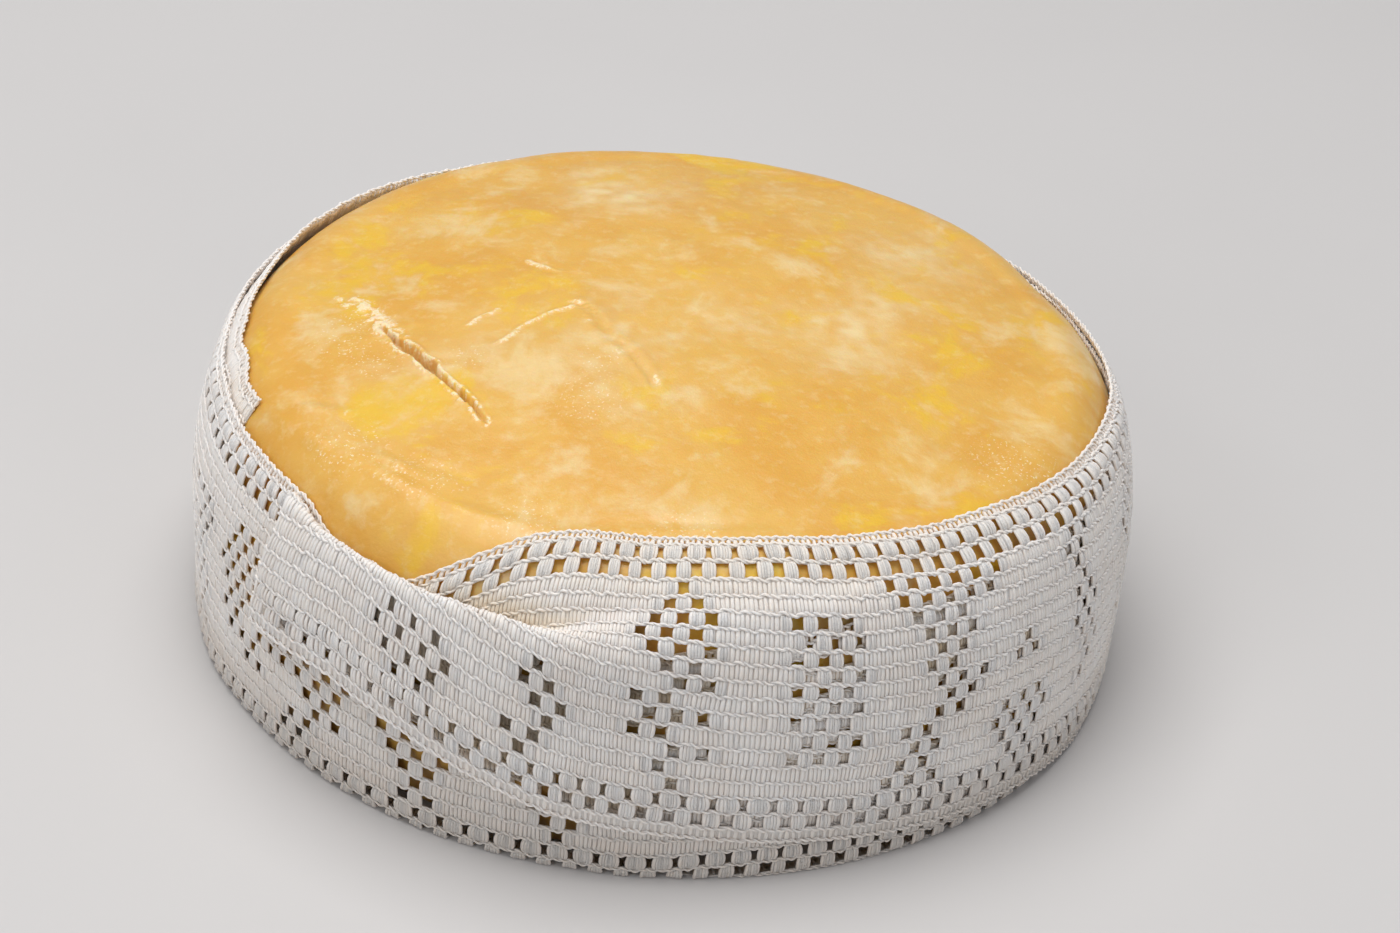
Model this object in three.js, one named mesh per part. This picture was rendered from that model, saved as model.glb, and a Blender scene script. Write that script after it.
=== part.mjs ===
// A small wheel of soft ripened cheese, wrapped in one long strip of knitted cotton lace.
// Millimetres, +Z up. The origin is the centre of the flat base, on the surface the wheel stands on.
// Azimuths are in degrees about +Z, counter-clockwise seen from above, and the front is at 270.

import * as THREE from 'three';

// Driving dimensions of the wheel
const WHEEL_RADIUS = 68.8; // at the widest part of the side
const WHEEL_HEIGHT = 52.0; // from the base to the top of the crown
const BASE_RADIUS = 62.0; // the flat that it stands on
const BULGE_HEIGHT = 17.0; // where the side is widest
const CROWN_RISE = 5.0; // how far the middle of the top stands above its shoulder
const SHOULDER_WIDTH = 14.0; // the round edge between the side and the top
const SHOULDER_FULLNESS = 2.5; // 2 is a plain ellipse, and more is squarer

// Driving dimensions of the lace
const LACE_THICKNESS = 0.7;
const LAYER_GAP = 0.4; // between the lace and the rind, and between one turn and the next
const SKIRT_TUCK = 1.6; // how far the lace draws in at its foot, below the bulge

// Driving azimuths of the winding, counted on past 360 from the outer end to the inner end
const OUTER_END = 222;
const INNER_END = 924;
const DIVE_FROM = 560; // the second turn starts to pass under the first
const DIVE_TO = 580;

// The foot edge of the strip as [azimuth, height]: it climbs to its outer end at the front left
const FOOT_EDGE = [
  [222, 20.8], [232, 21.2], [240, 19.3], [250, 15.4], [260, 11.8], [272, 9.2], [290, 6.6],
  [310, 3.8], [330, 1.2], [350, 0.9], [634, 0.9], [642, 1.9], [654, 2.3], [662, 1.6],
  [674, 0.9], [924, 0.9],
];

// The width of the strip as [azimuth, width]: it is narrower where it is pulled tight, at the back and the
// left, and where its second turn has slid down behind the pleat
const LACE_WIDTH = [
  [222, 45.0], [330, 45.0], [350, 43.6], [372, 41.6], [400, 40.8], [450, 40.8], [500, 42.0],
  [582, 42.0], [596, 38.4], [614, 37.0], [640, 37.0], [664, 38.6], [700, 40.4], [840, 41.2],
  [878, 44.4], [924, 44.6],
];

// The pleat at the outer end takes up part of the width, and dies out along the front
const PLEAT_FROM = 234;
const PLEAT_TO = 272;
const PLEAT_DEPTH = 12.2;

// From the back to the left the top of the strip stands clear of the shoulder
const STAND_SPAN = [430, 470, 550, 584]; // starts, is full, is still full, ends
const STAND_SHARE = 0.5; // of the way from the shoulder to upright
const STAND_HEIGHT = 34.0; // the height at which it leaves the side
const STAND_LEAN = 13; // degrees in from upright

// Fineness of the surfaces
const AROUND_STEP = 6; // degrees
const PROFILE_STEPS = 9; // along the foot rounding and the shoulder
const CROWN_STEPS = 5;
const ACROSS_STEPS = 14; // across the lace

const radians = THREE.MathUtils.degToRad;
const smooth = THREE.MathUtils.smoothstep;

// The wheel's half outline, from the edge of its base to the middle of its top, as [radius, height].
function shoulderCurve(steps) {
  const points = [];
  const rise = WHEEL_HEIGHT - CROWN_RISE - BULGE_HEIGHT;
  for (let i = 0; i <= steps; i++) {
    const turn = (Math.PI / 2) * (i / steps);
    const radius = WHEEL_RADIUS - SHOULDER_WIDTH * (1 - Math.cos(turn) ** (2 / SHOULDER_FULLNESS));
    points.push(new THREE.Vector2(radius, BULGE_HEIGHT + rise * Math.sin(turn) ** (2 / SHOULDER_FULLNESS)));
  }
  return points;
}

function crownCurve(steps) {
  const points = [];
  for (let i = 1; i <= steps; i++) {
    const share = 1 - i / steps;
    const radius = (WHEEL_RADIUS - SHOULDER_WIDTH) * share;
    points.push(new THREE.Vector2(radius, WHEEL_HEIGHT - CROWN_RISE * share * share));
  }
  return points;
}

function footCurve(steps) {
  const points = [];
  for (let i = 0; i < steps; i++) {
    const turn = (Math.PI / 2) * (i / steps);
    const radius = BASE_RADIUS + (WHEEL_RADIUS - BASE_RADIUS) * Math.sin(turn);
    points.push(new THREE.Vector2(radius, BULGE_HEIGHT * (1 - Math.cos(turn))));
  }
  return points;
}

function makeWheel() {
  const outline = [
    new THREE.Vector2(0, 0),
    ...footCurve(PROFILE_STEPS),
    ...shoulderCurve(PROFILE_STEPS),
    ...crownCurve(CROWN_STEPS),
  ];
  const geometry = new THREE.LatheGeometry(outline, 360 / AROUND_STEP);
  geometry.rotateX(Math.PI / 2);
  return geometry;
}

// The line that the lace follows from the floor upwards: a skirt that draws in a little at the foot,
// then the wheel's own shoulder and crown. It is walked by length, and each stop has its outward normal.
function lacePath() {
  const skirtSteps = 8;
  const points = [];
  for (let i = 0; i < skirtSteps; i++) {
    const share = i / skirtSteps;
    points.push(new THREE.Vector2(WHEEL_RADIUS - SKIRT_TUCK * (1 - share) ** 2, BULGE_HEIGHT * share));
  }
  points.push(...shoulderCurve(48), ...crownCurve(12));
  const lengths = [0];
  for (let i = 1; i < points.length; i++) {
    lengths.push(lengths[i - 1] + points[i].distanceTo(points[i - 1]));
  }
  return { points, lengths };
}

const path = lacePath();

function pathStop(length) {
  const { points, lengths } = path;
  let i = 1;
  while (i < lengths.length - 1 && lengths[i] < length) i++;
  const share = (length - lengths[i - 1]) / (lengths[i] - lengths[i - 1]);
  const place = points[i - 1].clone().lerp(points[i], share);
  const before = points[Math.max(i - 2, 0)];
  const after = points[Math.min(i + 1, points.length - 1)];
  const along = after.clone().sub(before).normalize();
  return { place, normal: new THREE.Vector2(along.y, -along.x) };
}

// A value at an azimuth, from [azimuth, value] pairs: a cubic through them that never overshoots them.
function valueAt(pairs, azimuth) {
  let i = 1;
  while (i < pairs.length - 1 && pairs[i][0] < azimuth) i++;
  const slope = (k) => (pairs[k][1] - pairs[k - 1][1]) / (pairs[k][0] - pairs[k - 1][0]);
  const tangent = (k) => {
    if (k === 0 || k === pairs.length - 1) return 0;
    const before = slope(k);
    const after = slope(k + 1);
    return before * after <= 0 ? 0 : (2 * before * after) / (before + after);
  };
  const [startAt, startValue] = pairs[i - 1];
  const [endAt, endValue] = pairs[i];
  const span = endAt - startAt;
  const t = (azimuth - startAt) / span;
  const t2 = t * t;
  const t3 = t2 * t;
  return (2 * t3 - 3 * t2 + 1) * startValue + (t3 - 2 * t2 + t) * span * tangent(i - 1)
    + (3 * t2 - 2 * t3) * endValue + (t3 - t2) * span * tangent(i);
}

// How far the middle of the lace stands off the rind: the first turn lies over the second.
function layerOffset(azimuth) {
  const inner = LAYER_GAP + LACE_THICKNESS / 2;
  const outer = inner + LACE_THICKNESS + LAYER_GAP;
  return THREE.MathUtils.lerp(outer, inner, smooth(azimuth, DIVE_FROM, DIVE_TO));
}

function visibleWidth(azimuth) {
  return valueAt(LACE_WIDTH, azimuth) - 2 * PLEAT_DEPTH * (1 - smooth(azimuth, PLEAT_FROM, PLEAT_TO));
}

function standShare(azimuth) {
  const [start, full, lasts, end] = STAND_SPAN;
  return STAND_SHARE * smooth(azimuth, start, full) * (1 - smooth(azimuth, lasts, end));
}

// A point of the lace at an azimuth and a distance up from its foot edge, on one of its two faces.
function lacePoint(azimuth, up, face) {
  const length = valueAt(FOOT_EDGE, azimuth) + up;
  const offset = layerOffset(azimuth) + face * (LACE_THICKNESS / 2);
  const hug = pathStop(length);
  const section = hug.place.addScaledVector(hug.normal, offset);
  if (length > STAND_HEIGHT) {
    const leave = pathStop(STAND_HEIGHT);
    const lean = radians(STAND_LEAN);
    const stand = leave.place.addScaledVector(leave.normal, offset);
    stand.add(new THREE.Vector2(-Math.sin(lean), Math.cos(lean)).multiplyScalar(length - STAND_HEIGHT));
    section.lerp(stand, standShare(azimuth) * smooth(length, STAND_HEIGHT, STAND_HEIGHT + 8));
  }
  const turn = radians(azimuth);
  return [section.x * Math.cos(turn), section.x * Math.sin(turn), section.y];
}

// The strip as one closed solid: an outer face, an inner face, two edges and two cut ends.
function makeLace() {
  const positions = [];
  const indices = [];
  const sections = (INNER_END - OUTER_END) / AROUND_STEP;
  const ring = 2 * (ACROSS_STEPS + 1);
  for (let s = 0; s <= sections; s++) {
    const azimuth = OUTER_END + s * AROUND_STEP;
    const step = visibleWidth(azimuth) / ACROSS_STEPS;
    for (let k = 0; k <= ACROSS_STEPS; k++) positions.push(...lacePoint(azimuth, step * k, 1));
    for (let k = ACROSS_STEPS; k >= 0; k--) positions.push(...lacePoint(azimuth, step * k, -1));
  }
  for (let s = 0; s < sections; s++) {
    for (let k = 0; k < ring; k++) {
      const here = s * ring + k;
      const next = s * ring + ((k + 1) % ring);
      indices.push(here, here + ring, next, next, here + ring, next + ring);
    }
  }
  const last = sections * ring;
  for (let k = 0; k < ACROSS_STEPS; k++) {
    const far = ring - 1 - k;
    indices.push(k, k + 1, far, k + 1, far - 1, far);
    indices.push(last + k, last + far, last + k + 1, last + k + 1, last + far, last + far - 1);
  }
  const geometry = new THREE.BufferGeometry();
  geometry.setAttribute('position', new THREE.Float32BufferAttribute(positions, 3));
  geometry.setIndex(indices);
  geometry.computeVertexNormals();
  return geometry;
}

const rind = new THREE.MeshStandardMaterial({ color: 0xe3b25c, roughness: 0.42, metalness: 0 });
const cotton = new THREE.MeshStandardMaterial({ color: 0xe8e2dc, roughness: 0.9, metalness: 0 });

const wheel = new THREE.Mesh(makeWheel(), rind);
wheel.name = 'cheese_wheel';

const lace = new THREE.Mesh(makeLace(), cotton);
lace.name = 'lace_band';

const group = new THREE.Group();
group.add(wheel, lace);

export default group;
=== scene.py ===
"""A small wheel of soft ripened cheese, its side wrapped in one long strip of white knitted filet lace.

Shapes are worked out in millimetres and become metres when their mesh is made. Azimuths are in degrees
about +Z, counter-clockwise from above, with the front at 270. Along the lace they are counted on past 360.
"""

import math

import bmesh
import bpy
import numpy as np
from mathutils import Matrix, Vector


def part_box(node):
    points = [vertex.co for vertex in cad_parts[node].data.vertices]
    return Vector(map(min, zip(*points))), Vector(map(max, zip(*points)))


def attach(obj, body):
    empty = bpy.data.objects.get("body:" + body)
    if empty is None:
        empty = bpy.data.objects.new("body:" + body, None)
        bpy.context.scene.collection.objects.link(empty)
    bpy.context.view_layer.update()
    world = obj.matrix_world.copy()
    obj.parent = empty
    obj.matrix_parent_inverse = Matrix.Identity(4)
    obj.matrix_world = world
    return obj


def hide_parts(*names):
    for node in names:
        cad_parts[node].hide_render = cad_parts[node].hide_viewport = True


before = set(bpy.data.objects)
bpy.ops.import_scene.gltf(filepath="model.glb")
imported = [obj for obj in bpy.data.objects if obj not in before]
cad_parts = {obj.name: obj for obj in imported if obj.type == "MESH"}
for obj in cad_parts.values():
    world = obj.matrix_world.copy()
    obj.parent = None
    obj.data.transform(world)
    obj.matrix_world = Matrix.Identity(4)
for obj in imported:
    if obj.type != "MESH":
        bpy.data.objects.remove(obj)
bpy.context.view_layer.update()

MM = 0.001
SEED = 20

# ---------------------------------------------------------------- the wheel's outline

WHEEL_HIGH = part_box("cheese_wheel")[1]
WHEEL_RADIUS = WHEEL_HIGH.x / MM
WHEEL_HEIGHT = WHEEL_HIGH.z / MM
BASE_RADIUS = WHEEL_RADIUS - 6.8
BULGE_HEIGHT = 17.0
CROWN_RISE = 5.0
SHOULDER_WIDTH = 14.0
SHOULDER_FULLNESS = 2.5

# ---------------------------------------------------------------- the lace strip

OUTER_END, INNER_END = 222.0, 924.0  # azimuths of its two cut ends
MM_PER_DEGREE = 1.225  # of lace, round the wheel's side
STRIP_WIDTH = 45.0
STRIP_LENGTH = (INNER_END - OUTER_END) * MM_PER_DEGREE
CELLS = 233  # of the net, along the strip
CELL = STRIP_LENGTH / CELLS
TOP_TRIM, FOOT_TRIM = 1.45, 2.1  # the braid along each edge
ROW_HEIGHTS = (2.4, 2.5) + 2 * (2.1,) + 6 * (2.30,) + 7 * (2.65,)  # from the top: rows lower down are slacker
ROWS = len(ROW_HEIGHTS)
OUTER_OFFSET, INNER_OFFSET = 1.36, 0.62  # how far the middle of the lace stands off the rind
ALONE_FROM = (41.5, 45.5)  # above this length up the side the outer turn has no lace behind it
DIVE = (560, 580)  # where the second turn passes under the first
# Where the top of each turn stands clear of the shoulder: starts, is full, lasts, ends, and how upright
STANDS = ((440, 472, 508, 548, 0.30), (815, 838, 866, 892, 0.50))
STAND_HEIGHT, STAND_LEAN = 34.0, math.radians(13)

# The foot edge as (azimuth, length up the side). Below nothing, it is tucked under the wheel.
FOOT_EDGE = (
    (222, 20.8), (232, 21.2), (240, 19.3), (250, 15.4), (260, 11.8), (272, 9.2), (290, 6.3), (300, 5.0),
    (310, 3.7), (319, 2.8), (328, 1.5), (340, 0.0), (356, -1.4), (400, -2.4), (560, -2.8), (590, -3.1),
    (630, -3.1), (648, -1.6), (662, -1.9), (680, -2.8), (924, -2.6),
)
# The width of the strip as (azimuth, width)
PULL = (
    (222, 45.0), (250, 45.2), (264, 45.8), (340, 45.8), (352, 45.4), (372, 44.0), (400, 43.0), (450, 43.0),
    (500, 44.4), (584, 44.8), (602, 43.6), (620, 43.4), (650, 43.8), (700, 43.0), (820, 44.0), (842, 45.8),
    (878, 48.0), (924, 48.2),
)
# How far the top of the second turn has slid down behind the pleat, as (azimuth, distance)
SLUMP = ((582, 0.0), (590, 2.6), (600, 4.0), (614, 4.4), (640, 3.6), (660, 2.0), (690, 0.0))
PLEAT_TUCK = (
    (222, 19.0), (232, 16.4), (241, 12.7), (250, 7.2), (255, 4.5), (260, 3.0), (265, 2.1), (270, 1.5),
    (275, 0.8), (280, 0.35), (288, 0.0),
)
PLEAT_FOLD = (
    (222, 42.0), (228, 40.5), (236, 39.9), (245, 39.2), (255, 39.2), (262, 39.8), (270, 41.0), (288, 41.5),
)
PLEAT_END = PLEAT_TUCK[-1][0]
PLEAT_EASES = (252, 268)  # between these azimuths its folds go from crisp to slack
# How unevenly the strip is stretched along itself, as (azimuth, degrees moved on)
SLIP = (
    (222, 0.0), (260, 0.0), (271, -1.4), (278, -1.2), (288, 0.0), (560, 0.0), (575, -1.0), (590, -2.3),
    (605, -0.8), (618, 0.0), (924, 0.0),
)
PLEAT_GAP = 0.8  # between the pleat's layers
# The cloth gathered at the pleat's end swells out. Its middle and reach are in degrees and up the side.
GATHER_SWELL, GATHER_AT, GATHER_REACH = 1.5, (265, 36.5), (9, 5.5)


def smooth(x, low, high):
    """0 below low, 1 above high, and smooth between."""
    t = np.clip((x - low) / (high - low), 0.0, 1.0)
    return t * t * (3 - 2 * t)


def value_at(pairs, azimuth):
    """A cubic through (azimuth, value) pairs that never overshoots them."""
    at, value = np.array(pairs, float).T
    slope = np.diff(value) / np.diff(at)
    before, after = slope[:-1], slope[1:]
    turn = before * after <= 0
    inner = np.where(turn, 0.0, 2 * before * after / np.where(turn, 1.0, before + after))
    tangent = np.concatenate([[0.0], inner, [0.0]])
    i = np.clip(np.searchsorted(at, azimuth, side="right") - 1, 0, len(slope) - 1)
    span = at[i + 1] - at[i]
    t = np.clip((azimuth - at[i]) / span, 0.0, 1.0)
    a = (1 + 2 * t) * (1 - t) ** 2 * value[i] + t * (1 - t) ** 2 * span * tangent[i]
    return a + t * t * (3 - 2 * t) * value[i + 1] + t * t * (t - 1) * span * tangent[i + 1]


def shoulder(turn):
    """(radius, height) round the shoulder, from the bulge at 0 to the crown's edge at a quarter turn."""
    power = 2 / SHOULDER_FULLNESS
    rise = WHEEL_HEIGHT - CROWN_RISE - BULGE_HEIGHT
    across = WHEEL_RADIUS - SHOULDER_WIDTH * (1 - np.clip(np.cos(turn), 0, 1) ** power)
    return np.stack([across, BULGE_HEIGHT + rise * np.sin(turn) ** power], -1)


def crown(share):
    """(radius, height) on the domed top, from its edge at 1 to its middle at 0."""
    return np.stack([(WHEEL_RADIUS - SHOULDER_WIDTH) * share, WHEEL_HEIGHT - CROWN_RISE * share**2], -1)


def walked(line):
    return np.concatenate([[0.0], np.cumsum(np.linalg.norm(np.diff(line, axis=0), axis=1))])


class LacePath:
    """The line the lace follows up the wheel, by length: a tuck, a skirt, the shoulder and the crown."""

    TUCK_FROM = 0.9  # below this height it curls in under the wheel
    TUCK_ROUND = 0.75
    SKIRT_DRAW = 0.5

    def __init__(self):
        share = np.arange(8) / 8
        skirt = np.stack([WHEEL_RADIUS - self.SKIRT_DRAW * (1 - share) ** 2, BULGE_HEIGHT * share], -1)
        turn = np.linspace(0, math.pi / 2, 97)
        line = np.concatenate([skirt, shoulder(turn), crown(1 - np.arange(1, 13) / 12)])
        length = walked(line)
        fine = np.arange(-6.0, length[-1], 0.1)
        points = np.stack([np.interp(fine, length, line[:, k]) for k in range(2)], -1)
        low = fine < self.TUCK_FROM
        bend = np.clip((self.TUCK_FROM - fine) / self.TUCK_ROUND, 0, math.pi / 2)
        flat = np.clip(self.TUCK_FROM - fine - self.TUCK_ROUND * math.pi / 2, 0, None)
        start = np.array([np.interp(self.TUCK_FROM, length, line[:, k]) for k in range(2)])
        points[low, 0] = start[0] - self.TUCK_ROUND * (1 - np.cos(bend[low])) - flat[low]
        points[low, 1] = start[1] - self.TUCK_ROUND * np.sin(bend[low])
        along = np.gradient(points, axis=0)
        along /= np.linalg.norm(along, axis=1)[:, None]
        out = np.stack([along[:, 1], -along[:, 0]], -1)
        out[low] = (1.0, 0.0)
        self.fine, self.points, self.out = fine, points, out

    def at(self, length):
        """(place, outward direction) at each length, as [..., 2] arrays of radius and height."""
        place = np.stack([np.interp(length, self.fine, self.points[:, k]) for k in range(2)], -1)
        return place, np.stack([np.interp(length, self.fine, self.out[:, k]) for k in range(2)], -1)


class Noise:
    """Smooth value noise on a seeded lattice, in up to three dimensions, from about -1 to 1."""

    def __init__(self, seed, size=32):
        self.size = size
        self.lattice = np.random.default_rng(seed).uniform(-1, 1, (size, size, size))

    def __call__(self, x, y=0.0, z=0.0):
        total = 0.0
        grid = [np.asarray(c, float) + 100.0 * (k + 1) for k, c in enumerate(np.broadcast_arrays(x, y, z))]
        whole = [np.floor(c).astype(int) for c in grid]
        part = [c - w for c, w in zip(grid, whole)]
        part = [p * p * (3 - 2 * p) for p in part]
        for corner in range(8):
            step = [(corner >> k) & 1 for k in range(3)]
            weight = 1.0
            for p, s in zip(part, step):
                weight = weight * (p if s else 1 - p)
            i, j, k = [(w + s) % self.size for w, s in zip(whole, step)]
            total = total + weight * self.lattice[i, j, k]
        return total


noise = Noise(SEED)


class Wrap:
    """Places points of the flat strip on the wheel. A flat point is (along, across, lift): how far it is from
    the outer end, up from the foot edge, and off the middle of the cloth."""

    AROUND_STEP = 0.5
    ACROSS_STEP = 0.2
    MARGIN = 1.6
    FOLD_SOFTNESS = (0.7, 2.6)  # at the outer end, and where the pleat dies out
    FLOOR_CLEARANCE = 0.12

    def __init__(self):
        self.azimuths = np.arange(OUTER_END - 4, INNER_END + 4.01, self.AROUND_STEP)
        self.acrosses = np.arange(-self.MARGIN, STRIP_WIDTH + self.MARGIN + 0.01, self.ACROSS_STEP)
        azimuth, across = np.meshgrid(self.azimuths, self.acrosses, indexing="ij")
        length, offset = self.lay(azimuth, across)
        place = self.hang(azimuth, length, offset)
        along = np.gradient(place, axis=1)
        along /= np.maximum(np.linalg.norm(along, axis=2), 1e-9)[..., None]
        out = np.stack([along[..., 1], -along[..., 0]], -1)
        self.table = np.concatenate([place, out], -1)

    def lay(self, azimuth, across):
        """The length up the side and the offset from the rind, with the pleat folded in."""
        foot = value_at(FOOT_EDGE, azimuth)
        flat = across * value_at(PULL, azimuth) / STRIP_WIDTH
        alone = smooth(foot + flat, *ALONE_FROM) * (1 - smooth(azimuth, 380, 420))
        base = INNER_OFFSET + (OUTER_OFFSET - INNER_OFFSET) * (1 - smooth(azimuth, *DIVE)) * (1 - alone)
        tuck = value_at(PLEAT_TUCK, azimuth) * (azimuth < PLEAT_END)
        fold = value_at(PLEAT_FOLD, azimuth) - foot
        past = np.clip(flat - fold, 0, None)
        up = np.minimum(flat, fold) - np.minimum(past, tuck) + np.clip(past - tuck, 0, None)
        gap = PLEAT_GAP * smooth(tuck, 0.0, 3.0)
        layer = 2 - smooth(flat, fold - 0.5, fold + 0.5) - smooth(flat, fold + tuck - 0.5, fold + tuck + 0.5)
        pleated = self.azimuths < PLEAT_END + 2
        crisp, slack = self.FOLD_SOFTNESS
        softness = crisp + (slack - crisp) * smooth(self.azimuths[pleated], *PLEAT_EASES)
        up[pleated] = self.soften(up[pleated], softness)
        offset = base
        offset[pleated] += self.soften((gap * layer)[pleated], softness)
        aside = (azimuth - GATHER_AT[0]) / GATHER_REACH[0]
        above = (foot + flat - GATHER_AT[1]) / GATHER_REACH[1]
        offset += GATHER_SWELL * np.exp(-(aside**2) - above**2)
        offset += 0.22 * noise(azimuth / 9, flat / 14, 3.0) * smooth(flat, 2, 8)
        slumped = (azimuth > SLUMP[0][0]) & (azimuth < SLUMP[-1][0])
        up -= value_at(SLUMP, azimuth) * smooth(flat, 18, 45) * slumped
        end = smooth(azimuth, INNER_END - 34, INNER_END)
        up += end * 1.1 * noise(azimuth / 5.5, 7.0) * smooth(flat, 30, 45)
        offset += end * 0.5 * noise(azimuth / 4, flat / 9, 5.0) * smooth(flat, 30, 45)
        return foot + up, offset

    def soften(self, rows, softness):
        """Each row rounded over by its own softness, in millimetres across the strip."""
        reach = int(3 * max(softness) / self.ACROSS_STEP)
        steps = np.arange(-reach, reach + 1) * self.ACROSS_STEP
        wide = np.pad(rows, ((0, 0), (reach, reach)), mode="reflect", reflect_type="odd")
        done = []
        for row, width in zip(wide, softness):
            kernel = np.exp(-((steps / width) ** 2) / 2)
            done.append(np.convolve(row, kernel / kernel.sum(), mode="valid"))
        return np.stack(done)

    def hang(self, azimuth, length, offset):
        """(radius, height) of the middle of the cloth."""
        path = LacePath()
        place, out = path.at(length)
        section = place + out * offset[..., None]
        leave, leave_out = path.at(np.full(length.shape, STAND_HEIGHT))
        rising = np.array([-math.sin(STAND_LEAN), math.cos(STAND_LEAN)])
        stand = leave + leave_out * offset[..., None] + rising * (length - STAND_HEIGHT)[..., None]
        share = sum(full * smooth(azimuth, a, b) * (1 - smooth(azimuth, c, d)) for a, b, c, d, full in STANDS)
        wave = 0.55 * noise(azimuth / 6, 11.0) + 0.3 * np.sin(azimuth * 1.9)
        stand[..., 0] += wave * smooth(length, STAND_HEIGHT, STAND_HEIGHT + 9)
        share = (share * smooth(length, STAND_HEIGHT, STAND_HEIGHT + 8))[..., None]
        return section * (1 - share) + stand * share

    def azimuth(self, along, across):
        """The outer cut end slants back towards its foot."""
        slant = 2.6 * (1 - smooth(across, 0, 22)) * (1 - smooth(along, 0, 16))
        plain = OUTER_END + along / MM_PER_DEGREE
        return plain - slant + value_at(SLIP, plain)

    def __call__(self, along, across, lift):
        azimuth = self.azimuth(along, across)
        row = np.clip((azimuth - self.azimuths[0]) / self.AROUND_STEP, 0, len(self.azimuths) - 1.001)
        column = np.clip((across - self.acrosses[0]) / self.ACROSS_STEP, 0, len(self.acrosses) - 1.001)
        i, j = row.astype(int), column.astype(int)
        s, t = (row - i)[..., None], (column - j)[..., None]
        near = self.table[i, j] * (1 - t) + self.table[i, j + 1] * t
        far = self.table[i + 1, j] * (1 - t) + self.table[i + 1, j + 1] * t
        found = near * (1 - s) + far * s
        out = found[..., 2:] / np.maximum(np.linalg.norm(found[..., 2:], axis=-1), 1e-9)[..., None]
        section = found[..., :2] + out * lift[..., None]
        turn = np.radians(azimuth)
        height = np.maximum(section[..., 1], self.FLOOR_CLEARANCE + 0.05 * np.clip(section[..., 1], -2, 0))
        return np.stack([section[..., 0] * np.cos(turn), section[..., 0] * np.sin(turn), height], -1)


wrap = Wrap()

# ---------------------------------------------------------------- the net's chart

# Each motif is five cells wide, with rows 3 to 15 from the top. A # is an open cell.
TAPERED = "..#.. ..##. .###. .###. .###. ..##. ..##. .##.. .###. .##.. ..##. ..#.. ..#.."
STRAIGHT = "..... ..... .###. ..### .###. ..### .###. ..### .###. ..### .###. ..... ....."
BANNER = "##### .#### .###. ..### ..##. ..##. ..### ...## ..##. .##.. .##.. .##.. ###.."
LOZENGES = "#.... #.... ..... ..... ..... ..#.. .##.. ..... ..... .###. ####. .###. .##.."
TWISTED = "##... ##... #.... .#... ##... .##.. ##... .##.. .##.. ..#.. .#... ..... ....."
CLUSTER = "..... ..... .##.. .###. ####. ####. ###.. .#### ##.## .###. ..##. ..... ....."
BAND = "..... ..... ..... .###. ####. .###. ..... ##### ####. ..##. ..##. .##.. ##..."
ARROW = "..... ..... ..... .###. ..##. .###. ..#.. .##.. ###.. .###. .##.. ..#.. .##.."
BARB = "..... ..... ..... ..... ..#.. .##.. ..##. ..#.. ..##. .##.. .##.. ..##. ..#.."
LADDER = "..... ##### #.### ####. ##### .#### #####" + " ....." * 6
PLAIN = " ".join(["....."] * 13)
HOOK = "..... ..... ..... ..... ..... ..... ..... ..#.. .##.. ..##. ..#.. .##.. .#..."
MOTIFS = [PLAIN, LOZENGES, HOOK, TAPERED, STRAIGHT, BANNER, LOZENGES, TWISTED]
MOTIFS += [TAPERED, CLUSTER, STRAIGHT, BAND, ARROW] * 3
MOTIFS += [CLUSTER, BAND, ARROW, BARB]
MOTIFS += [LADDER, LADDER, STRAIGHT, BAND, ARROW]
MOTIFS += [TAPERED, CLUSTER, STRAIGHT, BAND, ARROW] * 3
MOTIF_CELLS = 5
FIRST_MOTIF_ROW = 3
PRESSED_FROM = 205  # from this cell to the inner end the top two rows are pressed shut
SOLID, OPEN, SLIT = 0, 1, 2


def cell_kind(cell, row):
    """What a cell of the net is: solid, an open square, or the slit between two round pads."""
    if cell > PRESSED_FROM and row < FIRST_MOTIF_ROW:
        return SOLID
    if row in (2, ROWS):
        return OPEN
    if row in (1, ROWS - 1):
        return SLIT
    chart = MOTIFS[cell // MOTIF_CELLS].split()
    return OPEN if chart[row - FIRST_MOTIF_ROW][cell % MOTIF_CELLS] == "#" else SOLID


def row_lines():
    """Heights across the strip of the chains between the rows, from the foot up."""
    return list(FOOT_TRIM + np.cumsum([0.0, *ROW_HEIGHTS[::-1]]))


ROW_LINES = row_lines()


def cell_middle(cell, row):
    """Cells of one row stand over the gaps of the next."""
    return (cell + (0.75 if row % 2 else 0.25)) * CELL


# ---------------------------------------------------------------- threads

def sway_along(along, across):
    return 0.22 * noise(along / 7.0, across / 5.0, 21.0)


def sway_across(along, across):
    return 0.13 * noise(along / 6.0, across / 7.0, 31.0) + 0.05 * noise(along / 1.7, across / 2.0, 41.0)


def settled(along, across, lift):
    """The strip's own unevenness, and then its place on the wheel."""
    return wrap(along + sway_along(along, across), across + sway_across(along, across), lift)


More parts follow.
